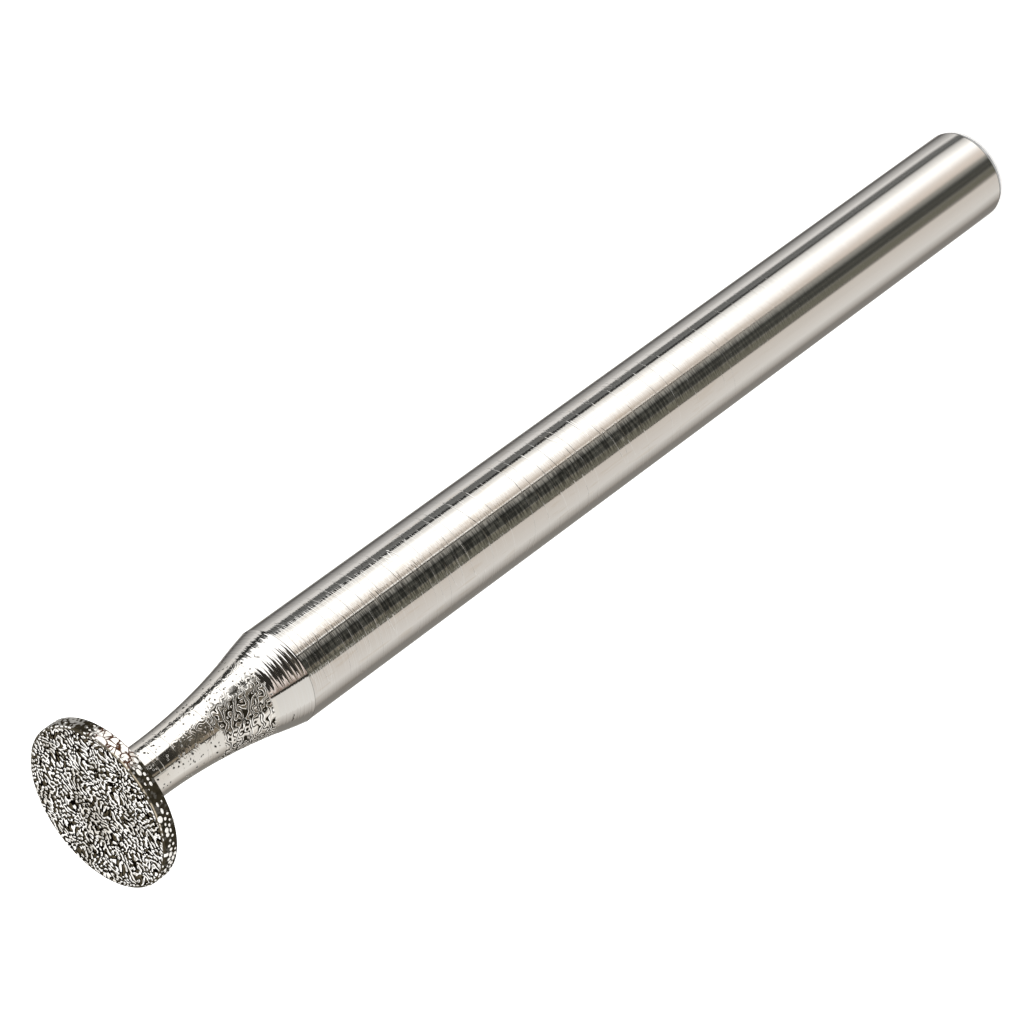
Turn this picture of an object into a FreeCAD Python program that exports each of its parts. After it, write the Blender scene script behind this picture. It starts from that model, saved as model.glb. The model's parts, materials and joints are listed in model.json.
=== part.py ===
import FreeCAD, Part
import math
import os

# Wheel bur for a dental handpiece: one turned steel blank with a plated disc head.
# It stands on the flat end of its shank. The origin is the centre of that end face,
# +Z runs along the shank towards the head, and all lengths are millimetres.

# Shank, the straight round bar that a collet grips
shank_diameter = 3.0
shank_length = 32.0
end_edge_radius = 0.25

# Shoulder, the slightly crowned cone where the bar was turned down
shoulder_length = 1.15
shoulder_taper_deg = 12.75
shoulder_crown = 0.03

# Rings that the turning tool left around the shoulder
ring_count = 9
ring_width = 0.08
ring_depth = 0.015

# Neck, a hollow flare that runs out into a slim cylinder
flare_length = 3.95
neck_length = 1.40
neck_diameter = 1.64
neck_fillet_radius = 0.12

# Head, a thin disc over its plating of grit
head_diameter = 5.10
head_thickness = 0.50
head_edge_radius = 0.06

# Radii and heights worked out from the sizes above
shank_r = shank_diameter / 2
neck_r = neck_diameter / 2
head_r = head_diameter / 2
flare_foot_r = shank_r - shoulder_length * math.tan(math.radians(shoulder_taper_deg))
shoulder_z = shank_length
flare_z = shoulder_z + shoulder_length
neck_z = flare_z + flare_length
head_z = neck_z + neck_length
face_z = head_z + head_thickness

AXIS_POINT = FreeCAD.Vector(0, 0, 0)
AXIS = FreeCAD.Vector(0, 0, 1)


def point(radius, height):
    """A point of the half section, at a radius and a height along the axis."""
    return FreeCAD.Vector(radius, 0, height)


def line(start, end):
    return Part.LineSegment(start, end).toShape()


def edge_round(centre, radius, start_deg, end_deg):
    """A quarter round about its centre; 0 degrees points outwards and 90 up the axis."""
    places = []
    for angle in (start_deg, (start_deg + end_deg) / 2, end_deg):
        turn = math.radians(angle)
        places.append(centre + point(radius * math.cos(turn), radius * math.sin(turn)))
    return Part.Arc(*places).toShape()


def shoulder_arc():
    """The crowned cone, from the shank's edge to the wide end of the flare."""
    start = point(shank_r, shoulder_z)
    end = point(flare_foot_r, flare_z)
    along = (end - start).normalize()
    outwards = point(along.z, -along.x)
    crest = (start + end) / 2 + outwards * shoulder_crown
    return Part.Arc(start, crest, end)


def flare_arc():
    """The hollow curve that leaves the cone and runs tangent into the neck."""
    rise = flare_foot_r - neck_r
    radius = (flare_length ** 2 + rise ** 2) / (2 * rise)
    half_turn = math.asin(flare_length / radius) / 2
    middle = point(neck_r + radius * (1 - math.cos(half_turn)), neck_z - radius * math.sin(half_turn))
    return Part.Arc(point(flare_foot_r, flare_z), middle, point(neck_r, neck_z))


def half_section():
    """The outline of one half of the bur, from the shank's end to the head's face."""
    end_r = shank_r - end_edge_radius
    fillet_r = neck_r + neck_fillet_radius
    fillet_z = head_z - neck_fillet_radius
    rim_r = head_r - head_edge_radius
    low_rim_z = head_z + head_edge_radius
    high_rim_z = face_z - head_edge_radius
    edges = [
        line(point(0, 0), point(end_r, 0)),
        edge_round(point(end_r, end_edge_radius), end_edge_radius, -90, 0),
        line(point(shank_r, end_edge_radius), point(shank_r, shoulder_z)),
        shoulder_arc().toShape(),
        flare_arc().toShape(),
        line(point(neck_r, neck_z), point(neck_r, fillet_z)),
        edge_round(point(fillet_r, fillet_z), neck_fillet_radius, 180, 90),
        line(point(fillet_r, head_z), point(rim_r, head_z)),
        edge_round(point(rim_r, low_rim_z), head_edge_radius, -90, 0),
        line(point(head_r, low_rim_z), point(head_r, high_rim_z)),
        edge_round(point(rim_r, high_rim_z), head_edge_radius, 0, 90),
        line(point(rim_r, face_z), point(0, face_z)),
        line(point(0, face_z), point(0, 0)),
    ]
    return Part.Face(Part.Wire(edges))


def turned(section):
    """The solid that a half section sweeps in one turn about the axis."""
    return section.revolve(AXIS_POINT, AXIS, 360)


def ring_groove(place, along):
    """A sharp groove all round the bur, cut square to its surface at one place."""
    outwards = point(along.z, -along.x)
    bottom = place - outwards * ring_depth
    left = place + outwards * ring_depth - along * ring_width
    right = place + outwards * ring_depth + along * ring_width
    return turned(Part.Face(Part.makePolygon([bottom, left, right, bottom])))


def turning_rings():
    """The grooves, spread evenly from the shank's edge to the flare."""
    cone = shoulder_arc()
    pitch = (cone.LastParameter - cone.FirstParameter) / ring_count
    grooves = []
    for ring in range(ring_count):
        station = cone.FirstParameter + (ring + 0.5) * pitch
        along = FreeCAD.Vector(*cone.tangent(station)[0])
        grooves.append(ring_groove(cone.value(station), along))
    return grooves


def bur():
    """The whole bur: one turned piece, with its rings cut last."""
    return turned(half_section()).cut(turning_rings())


def main():
    os.makedirs("parts", exist_ok=True)
    shape = bur()
    shape.exportStep("parts/wheel_bur.step")
    print("wheel_bur", round(shape.Volume, 3), "mm3, valid:", shape.isValid(), len(shape.Solids))


main()
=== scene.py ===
"""Wheel bur: a polished shank, a ring-turned shoulder, a plated neck and a disc head under grit."""
import json
import math
from typing import NamedTuple

import bpy
import numpy as np
from bpy.props import FloatProperty, FloatVectorProperty, IntProperty, PointerProperty
from mathutils import Matrix, Vector


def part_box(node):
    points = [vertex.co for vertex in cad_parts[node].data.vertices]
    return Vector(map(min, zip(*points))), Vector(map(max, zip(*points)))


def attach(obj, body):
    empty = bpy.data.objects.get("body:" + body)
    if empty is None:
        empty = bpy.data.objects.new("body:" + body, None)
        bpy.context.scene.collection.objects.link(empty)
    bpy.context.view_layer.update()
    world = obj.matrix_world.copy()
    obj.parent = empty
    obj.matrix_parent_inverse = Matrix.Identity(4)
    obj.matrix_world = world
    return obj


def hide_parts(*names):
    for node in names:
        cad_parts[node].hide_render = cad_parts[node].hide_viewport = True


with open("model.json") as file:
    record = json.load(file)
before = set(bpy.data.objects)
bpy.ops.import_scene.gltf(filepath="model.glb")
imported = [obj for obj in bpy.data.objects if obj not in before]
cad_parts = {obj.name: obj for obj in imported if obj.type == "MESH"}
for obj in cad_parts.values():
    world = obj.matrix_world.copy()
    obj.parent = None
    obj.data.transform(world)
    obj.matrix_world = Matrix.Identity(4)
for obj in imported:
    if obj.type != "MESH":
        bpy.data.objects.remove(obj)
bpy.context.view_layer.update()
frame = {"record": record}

bl_info = {
    "name": "Wheel bur",
    "version": (1, 0, 0),
    "blender": (4, 5, 0),
    "location": "3D View > Sidebar > Bur",
    "description": "Builds the visual model of a wheel bur over its CAD solid, with its studio",
    "category": "Object",
}

NODE = "wheel_bur"
BODY = "root"
MM = 0.001
BUR_LOW, BUR_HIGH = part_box(NODE)
HEAD_R = (BUR_HIGH.x - BUR_LOW.x) / 2
FACE_Z = BUR_HIGH.z
SHANK_R = next(m for m in frame["record"]["mounts"] if m["name"] == "shank")["dims"]["r_mm"] * MM

# How the pieces overlap and fit, and how near to a sharp edge a row lies

CREASE = 0.004 * MM
NECK_BURIED = 0.1 * MM
DISC_INSET = 0.02 * MM
DISC_SUNK = 0.07 * MM
DISC_LIP = 0.005 * MM
CRUST_GAP = 0.01 * MM
CRUST_BURIED = 0.15 * MM
CRUST_ROUND = 0.03 * MM
BEAD_MARGIN = 0.05 * MM
BEAD_SINK_SHARE = 0.06
BACK_BARE_R = 1.15 * MM

# Rows of faces along each stretch of an outline, and faces across the disc

END_ROWS, END_ROUND_ROWS, SHANK_ROWS, SHOULDER_ROWS = 4, 10, 24, 128
PATCH_ROWS, FLARE_ROWS, NECK_ROWS, FILLET_ROWS = 120, 32, 12, 6
DISC_CELLS, EDGE_ROWS, RIM_ROWS, CRUST_EDGE_ROWS = 72, 5, 7, 3

# The rough patch on the flare; where it starts and ends is in millimetres and degrees

PATCH_REACH = 2.1 * MM
PATCH_RELIEF = 0.010 * MM
PATCH_START = (0.10, 0.16)
PATCH_END = (1.50, 2.20)
PATCH_END_SOFT = 0.06
PATCH_SIDE = (-62.0, -40.0)
PATCH_SIDE_DRIFT = -60.0
WORM_SLOPE = (0.15, 1.00)
WORM_EDGE = (0.34, 0.44)

# The layers of noise in the crust's height: grid points, spacing in pitches or metres, and spread

CRUST_SPAN = 2.2 * HEAD_R
BEND_GRID, BEND_PITCH, BEND_SPREAD, BEND = 128, 0.9 * MM, 0.4, 0.05 * MM
MAZE_GRID, MAZE_SPREAD = 640, 0.30
WORM_PITCHES, WORM_SPREAD, WORM_SHARE = 0.55, 0.25, 0.45
WIDE_GRID, SWELL_PITCHES, SWELL_SPREAD, SWELL_SHARE = 256, 3.6, 0.40, 0.30
PIT_START, PIT_SHARE = 0.8, 0.5
VEIN_PITCHES, VEIN_SPREAD, VEIN_WIDTH, VEIN_SHARE = 5.0, 0.35, 0.16, 1.3
CRUST_DROP = 0.12

# Stretches round the bur in degrees from the camera's side, as window takes them

# The side of the shank that carries painted reflection fringes
FRINGED_SHANK_SIDE = (-5.0, 0.0, 14.0, 22.0)
SHADED_WORMS = (-22.0, -8.0, 29.0, 33.0)
GRAZED_FLARE = (-26.0, -14.0, 24.0, 30.0)
GRAZED_LINE = (-54.0, -50.0, -42.0, -36.0)
RIM_HIGHLIGHT_STRETCH = (-44.0, -38.0, -10.0, -6.0)
WORN_LIP = (-38.0, -14.0, 26.0, 44.0)
BEAD_GAP = (-44.0, -38.0, -14.0, -11.0)
BEAD_CLUMP = (-13.0, -9.0, -3.0, 1.0)

# Soft edges round the bur in degrees, as step takes them

BEAD_CROWD = (20.0, 34.0)
SPARSE_BEADS = (-60.0, -40.0)
PALE_RIM = (-64.0, -44.0)

# Stains and residues, and the colours of painted shade

WARM_STREAK = (0.74, 0.69, 0.62)
WORM_SHADE = (0.14, 0.12, 0.092)
OLIVE_DEEP = (0.050, 0.040, 0.024)
OLIVE_LIGHT = (0.110, 0.092, 0.062)
OLIVE = (0.085, 0.070, 0.046)
FLANK_SHADE = (0.003, 0.002, 0.001)
RIDGE_FOOT_SHADE = (0.002, 0.001, 0.001)
DULL_FILM = (0.45, 0.42, 0.36)
RUST = (0.060, 0.024, 0.012)
LIP_RESIDUE = (0.045, 0.037, 0.023)
WORN_TAN = (0.42, 0.36, 0.27)
WHITE = (1.0, 1.0, 1.0)


# Sizes and finishes that a user would change

class BlankSizes(bpy.types.PropertyGroup):
    """The turned blank: shank, shoulder, flare and neck."""
    shank_length: FloatProperty(
        name="Shank length", description="Straight bar from its end face to the shoulder",
        default=32 * MM, unit="LENGTH")
    end_round: FloatProperty(
        name="End round", description="Radius at the edge of the shank's end",
        default=0.25 * MM, unit="LENGTH")
    shoulder_length: FloatProperty(
        name="Shoulder length", description="Length of the crowned cone",
        default=1.15 * MM, unit="LENGTH")
    shoulder_taper: FloatProperty(
        name="Shoulder taper", description="Half angle of the cone",
        default=math.radians(12.75), subtype="ANGLE")
    shoulder_crown: FloatProperty(
        name="Shoulder crown", description="How far the cone bulges",
        default=0.008 * MM, unit="LENGTH")
    flare_length: FloatProperty(
        name="Flare length", description="Length of the hollow curve down to the neck",
        default=3.95 * MM, unit="LENGTH")
    neck_length: FloatProperty(
        name="Neck length", description="Straight neck behind the head",
        default=1.40 * MM, unit="LENGTH")
    neck_radius: FloatProperty(
        name="Neck radius", description="Radius of the straight neck",
        default=0.82 * MM, unit="LENGTH")
    neck_fillet: FloatProperty(
        name="Neck fillet", description="Hollow round where the neck meets the head",
        default=0.12 * MM, unit="LENGTH")
    segments: IntProperty(name="Segments", description="Faces round the blank", default=256, min=24)


class RingSizes(bpy.types.PropertyGroup):
    """The rings that the turning tool left on the shoulder."""
    pitch: FloatProperty(
        name="Ring pitch", description="Mean distance from ring to ring",
        default=0.118 * MM, unit="LENGTH")
    depth: FloatProperty(
        name="Ring depth", description="Depth of the deepest ring",
        default=0.0050 * MM, unit="LENGTH")
    seed: IntProperty(name="Ring seed", description="Picks the uneven ring depths", default=5)


class GritSizes(bpy.types.PropertyGroup):
    """The grit and its nickel plating on the head."""
    face_cells: IntProperty(
        name="Face cells", description="Mesh cells across the crust on the face",
        default=290, min=16)
    edge_round: FloatProperty(
        name="Edge round", description="Radius at the rim's two edges",
        default=0.06 * MM, unit="LENGTH")
    head_thickness: FloatProperty(
        name="Head thickness", description="Thickness of the disc over its plating",
        default=0.50 * MM, unit="LENGTH")
    crust_height: FloatProperty(
        name="Crust height", description="Height of the crust from valley to ridge",
        default=0.035 * MM, unit="LENGTH")
    ridge_pitch: FloatProperty(
        name="Ridge pitch", description="Mean distance from ridge to ridge of the crust",
        default=0.165 * MM, unit="LENGTH")
    bead_size: FloatProperty(
        name="Bead size", description="Diameter of a large plated grain on the rim",
        default=0.18 * MM, unit="LENGTH")
    bead_gap: FloatProperty(
        name="Bead gap", description="Least distance from the middle of a grain to the next",
        default=0.14 * MM, unit="LENGTH")
    bead_density: FloatProperty(
        name="Bead density", description="Most grains on each square metre of the rim",
        default=500e6, min=0.0)
    seed: IntProperty(name="Grit seed", description="Places the grains", default=11)


class Finishes(bpy.types.PropertyGroup):
    """Colours and roughness of the metals."""
    steel: FloatVectorProperty(
        name="Steel", description="Polished steel of the shank",
        default=(0.82, 0.81, 0.79), subtype="COLOR", min=0.0, max=1.0)
    steel_roughness: FloatProperty(
        name="Steel roughness", description="Blur of the shank's reflections",
        default=0.07, subtype="FACTOR", min=0.0, max=1.0)
    nickel: FloatVectorProperty(
        name="Nickel", description="Bright plating on the neck and the grit",
        default=(0.86, 0.84, 0.80), subtype="COLOR", min=0.0, max=1.0)
    nickel_roughness: FloatProperty(
        name="Nickel roughness", description="Blur of the plating's reflections",
        default=0.08, subtype="FACTOR", min=0.0, max=1.0)
    grit: FloatVectorProperty(
        name="Grit", description="Plated grains and ridges of the head",
        default=(0.66, 0.645, 0.62), subtype="COLOR", min=0.0, max=1.0)
    # Recess also serves as the black painted shade in the gaps between the flare's worms.
    recess: FloatVectorProperty(
        name="Recess", description="Dark residue between the grains and in the pits",
        default=(0.035, 0.029, 0.018), subtype="COLOR", min=0.0, max=1.0)


class StudioSizes(bpy.types.PropertyGroup):
    """The camera and the floor."""
    focal_length: FloatProperty(
        name="Focal length", description="Camera lens in millimetres",
        default=163.2, subtype="DISTANCE_CAMERA")
    distance: FloatProperty(
        name="Distance", description="From the camera to the point that it looks at",
        default=133.7 * MM, unit="LENGTH")
    elevation: FloatProperty(
        name="Elevation", description="Camera's angle above the horizon",
        default=math.radians(36.2), subtype="ANGLE")
    roll: FloatProperty(
        name="Roll", description="Camera's turn about its own line of sight",
        default=math.radians(-126.2), subtype="ANGLE")
    aim_height: FloatProperty(
        name="Aim height", description="Height on the bur's axis that the camera looks at",
        default=22.0 * MM, unit="LENGTH")
    aim_offset: FloatProperty(
        name="Aim offset", description="How far below the axis the line of sight passes",
        default=0.22 * MM, unit="LENGTH")
    floor_radius: FloatProperty(
        name="Floor radius", description="Radius of the pale floor", default=1.5, unit="LENGTH")
    floor_colour: FloatVectorProperty(
        name="Floor colour", description="Plain pale floor",
        default=(0.97, 0.97, 0.97), subtype="COLOR", min=0.0, max=1.0)


# Small helpers for node trees

def put(socket, value):
    """Links a socket to a value that is itself a socket, or sets it to a plain value."""
    if isinstance(value, bpy.types.NodeSocket):
        socket.id_data.links.new(value, socket)
    else:
        socket.default_value = value


def node(near, kind, inputs=None, **settings):
    """A new node in a tree, named by itself or by one of its sockets, with its inputs set."""
    made = near.id_data.nodes.new(kind)
    for name, value in settings.items():
        setattr(made, name, value)
    for name, value in (inputs or {}).items():
        put(made.inputs[name], value)
    return made


def add_inputs(tree, kind, *names):
    """Adds named inputs of one kind to a node group."""
    for name in names:
        tree.interface.new_socket(name=name, in_out="INPUT", socket_type=kind)


def calc(operation, *values):
    """The result of a Math node. One value at least is a socket, which also names the tree."""
    near = next(value for value in values if isinstance(value, bpy.types.NodeSocket))
    return node(near, "ShaderNodeMath", dict(enumerate(values)), operation=operation).outputs[0]


def total(first, *others):
    """Numbers added together."""
    for other in others:
        first = calc("ADD", first, other)
    return first


def product(first, *others):
    """Numbers multiplied together."""
    for other in others:
        first = calc("MULTIPLY", first, other)
    return first


def largest(first, *others):
    """The largest of some numbers."""
    for other in others:
        first = calc("MAXIMUM", first, other)
    return first


def rest_of(share):
    """What a share leaves of 1."""
    return calc("SUBTRACT", 1.0, share)


def run(share, start, end):
    """A number that runs from start, where the share is 0, to end, where it is 1."""
    return calc("MULTIPLY_ADD", share, end - start, start)


def step(value, low, high):
    """0 below low, 1 above high, and smooth between them."""
    return node(
        value, "ShaderNodeMapRange", {"Value": value, "From Min": low, "From Max": high},
        interpolation_type="SMOOTHSTEP").outputs["Result"]


def fall(value, low, high):
    """1 below low, 0 above high, and smooth between them."""
    return rest_of(step(value, low, high))


def window(value, bounds):
    """1 between the middle two of four bounds, 0 past the outer two, and smooth between them."""
    opening, opened, closing, closed = bounds
    return product(step(value, opening, opened), fall(value, closing, closed))


def vector_calc(operation, *values, result="Vector"):
    """The result of a Vector Math node."""
    inputs = dict(enumerate(values))
    return node(values[0], "ShaderNodeVectorMath", inputs, operation=operation).outputs[result]


def scaled(vector, factor):
    """A vector times a number."""
    made = node(vector, "ShaderNodeVectorMath", {0: vector, "Scale": factor}, operation="SCALE")
    return made.outputs["Vector"]


def flattened(place):
    """A place brought down to height 0."""
    return vector_calc("MULTIPLY", place, (1.0, 1.0, 0.0))


def from_axis(place):
    """The distance from the axis."""
    return vector_calc("LENGTH", flattened(place), result="Value")


def height_of(place):
    """The part of a place or of a direction that points up the axis."""
    return node(place, "ShaderNodeSeparateXYZ", {0: place}).outputs["Z"]


def azimuth_of(place):
    """Degrees round the axis from the camera's side."""
    axes = node(place, "ShaderNodeSeparateXYZ", {0: place}).outputs
    across = product(axes["X"], -1.0)
    towards = product(axes["Y"], -1.0)
    return calc("DEGREES", calc("ARCTAN2", across, towards))


def noise(place, scale, detail=1.0, result="Fac"):
    """Smooth noise, as a number or as a colour."""
    return node(
        place, "ShaderNodeTexNoise",
        {"Vector": place, "Scale": scale, "Detail": detail}).outputs[result]


def streaks(place, ups_and_downs, detail=1.0):
    """Noise with so many ups and downs to the millimetre along each axis."""
    return noise(vector_calc("MULTIPLY", place, ups_and_downs), 1.0, detail)


def crossings(value, width):
    """Thin lines, 1 inside, where noise crosses its middle value."""
    off = calc("ABSOLUTE", calc("SUBTRACT", value, 0.5))
    return fall(off, 0.0, width)


def warped(place, amount, scale, detail=1.0):
    """A place pushed about by noise."""
    push = vector_calc("SUBTRACT", noise(place, scale, detail, "Color"), (0.5, 0.5, 0.5))
    return vector_calc("ADD", place, scaled(push, amount))


def speckle(place, scale, share, core, edge):
    """Small round spots, 1 inside; share is how many of the cells hold one."""
    cells = node(
        place, "ShaderNodeTexVoronoi", {"Vector": place, "Scale": scale}, feature="F1").outputs
    luck = node(place, "ShaderNodeSeparateColor", {0: cells["Color"]}).outputs[0]
    spot = fall(cells["Distance"], core, edge)
    return product(spot, calc("LESS_THAN", luck, share))


def rgba(colour, strength=1.0):
    """A colour for a socket, made brighter or dimmer."""
    return (colour[0] * strength, colour[1] * strength, colour[2] * strength, 1.0)


def blend(factor, first, second):
    """A mix of two numbers."""
    return node(
        factor, "ShaderNodeMix", {"Factor": factor, "A": first, "B": second},
        data_type="FLOAT").outputs["Result"]


def tint(factor, first, second, mode="MIX"):
    """A mix of two colours."""
    return node(
        factor, "ShaderNodeMix", {"Factor": factor, "A": first, "B": second},
        data_type="RGBA", blend_type=mode).outputs["Result"]


def colour_ramp(value, stops):
    """The colour at a value from 0 to 1 between stops of place and colour."""
    ramp = node(value, "ShaderNodeValToRGB", {"Fac": value})
    elements = ramp.color_ramp.elements
    while len(elements) < len(stops):
        elements.new(0.5)
    for element, (place, colour) in zip(elements, stops):
        element.position = place
        element.color = colour
    return ramp.outputs["Color"]


# Outlines, as (radius, height) from row to row

def arc_points(centre, radius, start_deg, end_deg, steps):
    """Points along an arc; 0 degrees points outwards and 90 up the axis."""
    turns = np.radians(np.linspace(start_deg, end_deg, steps + 1))
    return [(centre[0] + radius * math.cos(t), centre[1] + radius * math.sin(t)) for t in turns]


def straight_points(radius, start, end, steps):
    """Points along a cylinder's side, without the first."""
    return [(radius, height) for height in np.linspace(start, end, steps + 1)[1:]]


def bowed_points(start, end, bow, steps):
    """Points along an arc that bulges outwards from its chord by bow."""
    chord = math.dist(start, end)
    radius = (chord ** 2 / 4 + bow ** 2) / (2 * bow)
    half_turn = math.asin(chord / 2 / radius)
    along = ((end[0] - start[0]) / chord, (end[1] - start[1]) / chord)
    rows = []
    for share in np.linspace(-1, 1, steps + 1):
        far = chord / 2 + radius * math.sin(half_turn * share)
        out = radius * math.cos(half_turn * share) - (radius - bow)
        rows.append((
            start[0] + along[0] * far + along[1] * out,
            start[1] + along[1] * far - along[0] * out))
    return rows


def blank_outline(sizes):
    """The half section of the blank, from the middle of its end face up into the head."""
    shoulder_z = sizes.shank_length
    flare_z = shoulder_z + sizes.shoulder_length
    neck_z = flare_z + sizes.flare_length
    head_z = neck_z + sizes.neck_length
    taper = math.tan(sizes.shoulder_taper)
    foot_r = SHANK_R - sizes.shoulder_length * taper
    rise = foot_r - sizes.neck_radius
    flare_r = (sizes.flare_length ** 2 + rise ** 2) / (2 * rise)
    flare_turn = math.degrees(math.asin(sizes.flare_length / flare_r))
    patch_turn = flare_turn * (1 - PATCH_REACH / sizes.flare_length)
    flare_centre = (sizes.neck_radius + flare_r, neck_z)
    end_r = SHANK_R - sizes.end_round
    fillet_r = sizes.neck_radius + sizes.neck_fillet
    fillet_z = head_z - sizes.neck_fillet
    buried = head_z + NECK_BURIED
    rows = [(r, 0) for r in np.linspace(0, end_r, END_ROWS + 1)]
    rows += arc_points((end_r, sizes.end_round), sizes.end_round, -90, 0, END_ROUND_ROWS)[1:]
    rows += straight_points(SHANK_R, sizes.end_round, shoulder_z - CREASE, SHANK_ROWS)
    rows += bowed_points(
        (SHANK_R, shoulder_z), (foot_r, flare_z), sizes.shoulder_crown, SHOULDER_ROWS)
    rows += [(foot_r - CREASE * taper, flare_z + CREASE)]
    rows += arc_points(flare_centre, flare_r, 180 + flare_turn, 180 + patch_turn, PATCH_ROWS)[1:]
    rows += arc_points(flare_centre, flare_r, 180 + patch_turn, 180, FLARE_ROWS)[1:]
    rows += straight_points(sizes.neck_radius, neck_z, fillet_z, NECK_ROWS)
    rows += arc_points((fillet_r, fillet_z), sizes.neck_fillet, 180, 90, FILLET_ROWS)[1:]
    rows += [(fillet_r, buried), (fillet_r / 2, buried), (0, buried)]
    return rows


def disc_outline(sizes):
    """The side of the plain disc, from its face, sunk under the crust, round to its back."""
    radius = HEAD_R - DISC_INSET
    top = FACE_Z - DISC_INSET
    low = FACE_Z - sizes.head_thickness
    bend = sizes.edge_round
    flat_r = radius - bend
    rows = [(flat_r - DISC_INSET, top - DISC_SUNK), (flat_r - DISC_LIP, top - DISC_LIP)]
    rows += arc_points((flat_r, top - bend), bend, 90, 0, EDGE_ROWS)
    rows += straight_points(radius, top - bend, low + bend, RIM_ROWS)
    rows += arc_points((flat_r, low + bend), bend, 0, -90, EDGE_ROWS)[1:]
    return rows


# Meshes

def piece(name, data):
    """An object at the origin that holds a mesh or a camera."""
    made = bpy.data.objects.new(name, data)
    bpy.context.scene.collection.objects.link(made)
    return made


def smooth_mesh(name, points, faces):
    """A mesh with smooth faces."""
    mesh = bpy.data.meshes.new(name)
    mesh.from_pydata(points.tolist(), [], faces)
    mesh.shade_smooth()
    return mesh


def level(flat, radius, height):
    """A flat shape of radius 1, grown to a radius and put at a height."""
    return np.column_stack([flat * radius, np.full(len(flat), height)])


def band(upper, lower):
    """The faces between two loops of points, one above the other."""
    return np.stack([lower, np.roll(lower, -1), np.roll(upper, -1), upper], 1)


def fan(loop, middle):
    """The faces from a loop of points to one in its middle."""
    return np.column_stack([loop, np.roll(loop, -1), np.full(len(loop), middle)])


def ring_loops(start, rings):
    """The numbers of the points of some rings, whose first point has the number start."""
    size = len(rings[0])
    return [start + number * size + np.arange(size) for number in range(len(rings))]


def turned_mesh(name, rows, segments):
    """A closed mesh of revolution with one point at each end of its outline."""
    angles = np.arange(segments) * 2 * math.pi / segments
    circle = np.stack([np.cos(angles), np.sin(angles)], 1)
    rings = [level(circle, radius, height) for radius, height in rows[1:-1]]
    points = np.vstack([[0, 0, rows[0][1]], *rings, [0, 0, rows[-1][1]]])
    loops = ring_loops(1, rings)
    faces = fan(loops[0][::-1], 0).tolist()
    for lower, upper in zip(loops, loops[1:]):
        faces += band(upper, lower).tolist()
    faces += fan(loops[-1], len(points) - 1).tolist()
    return smooth_mesh(name, points, faces)


def square_on_disc(cells):
    """A square grid of points pressed into a round disc of radius 1, row by row."""
    side = np.linspace(-1, 1, cells + 1)
    a, b = np.meshgrid(side, side)
    wide = np.abs(a) >= np.abs(b)
    radius = np.where(wide, a, b)
    ratio = np.where(wide, b, a) / np.where(radius == 0, 1, radius)
    turn = math.pi / 4 * ratio
    turn = np.where(wide, turn, math.pi / 2 - turn)
    return np.stack([radius * np.cos(turn), radius * np.sin(turn)], -1).reshape(-1, 2)


def grid_quads(cells):
    """The faces of a square grid of points."""
    corner = np.add.outer(np.arange(cells) * (cells + 1), np.arange(cells)).reshape(-1)
    return np.stack([corner, corner + 1, corner + cells + 2, corner + cells + 1], 1)


def border_walk(cells):
    """The numbers of a square grid's border points, once round."""
    wide = cells + 1
    south = list(range(cells))
    east = [i * wide + cells for i in range(cells)]
    north = [cells * wide + j for j in range(cells, 0, -1)]
    west = [i * wide for i in range(cells, 0, -1)]
    return np.array(south + east + north + west)


def disc_mesh(name, outline, cells):
    """A closed disc of even quads: a flat grid, the outline down its side and a flat grid below."""
    flat = square_on_disc(cells)
    walk = border_walk(cells)
    top = level(flat, *outline[0])
    bottom = level(flat, *outline[-1])
    rings = [level(flat[walk], radius, height) for radius, height in outline[1:-1]]
    loops = [walk, *ring_loops(len(top) + len(bottom), rings), walk + len(top)]
    quads = grid_quads(cells)
    faces = [quads, quads[:, ::-1] + len(top)]
    faces += [band(upper, lower) for upper, lower in zip(loops, loops[1:])]
    return smooth_mesh(name, np.vstack([top, bottom, *rings]), np.vstack(faces).tolist())


def crust_mesh(name, radius, cells):
    """A closed plate with a fine grid on top, whose underside is a plain fan inside the head."""
    flat = square_on_disc(cells)
    walk = border_walk(cells)
    low = FACE_Z - CRUST_BURIED
    flat_r = radius - CRUST_ROUND
    side = arc_points((flat_r, FACE_Z - CRUST_ROUND), CRUST_ROUND, 90, 0, CRUST_EDGE_ROWS)[1:]
    side += [(radius, low)]
    top = level(flat, flat_r, FACE_Z)
    rings = [level(flat[walk], r, z) for r, z in side]
    points = np.vstack([top, *rings, [[0, 0, low]]])
    loops = [walk, *ring_loops(len(top), rings)]
    faces = grid_quads(cells).tolist()
    for upper, lower in zip(loops, loops[1:]):
        faces += band(upper, lower).tolist()
    faces += fan(loops[-1][::-1], len(points) - 1).tolist()
    return smooth_mesh(name, points, faces)


def banded_noise(random, size, pitch, spread):
    """A square of smooth noise whose ups and downs lie about one pitch apart."""
    waves = np.fft.fftfreq(size, CRUST_SPAN / size)
    length = np.hypot(*np.meshgrid(waves, waves))
    keep = np.exp(-((length * pitch - 1) / spread) ** 2)
    field = np.fft.ifft2(np.fft.fft2(random.standard_normal((size, size))) * keep).real
    return field / field.std()


def read_square(field, x, y):
    """Values of a square field at places in metres from its middle."""
    size = len(field)
    across = np.clip((x / CRUST_SPAN + 0.5) * (size - 1), 0, size - 1.001)
    up = np.clip((y / CRUST_SPAN + 0.5) * (size - 1), 0, size - 1.001)
    column, row = across.astype(int), up.astype(int)
    right, high = across - column, up - row
    low_row = field[row, column] * (1 - right) + field[row, column + 1] * right
    high_row = field[row + 1, column] * (1 - right) + field[row + 1, column + 1] * right
    return low_row * (1 - high) + high_row * high


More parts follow.
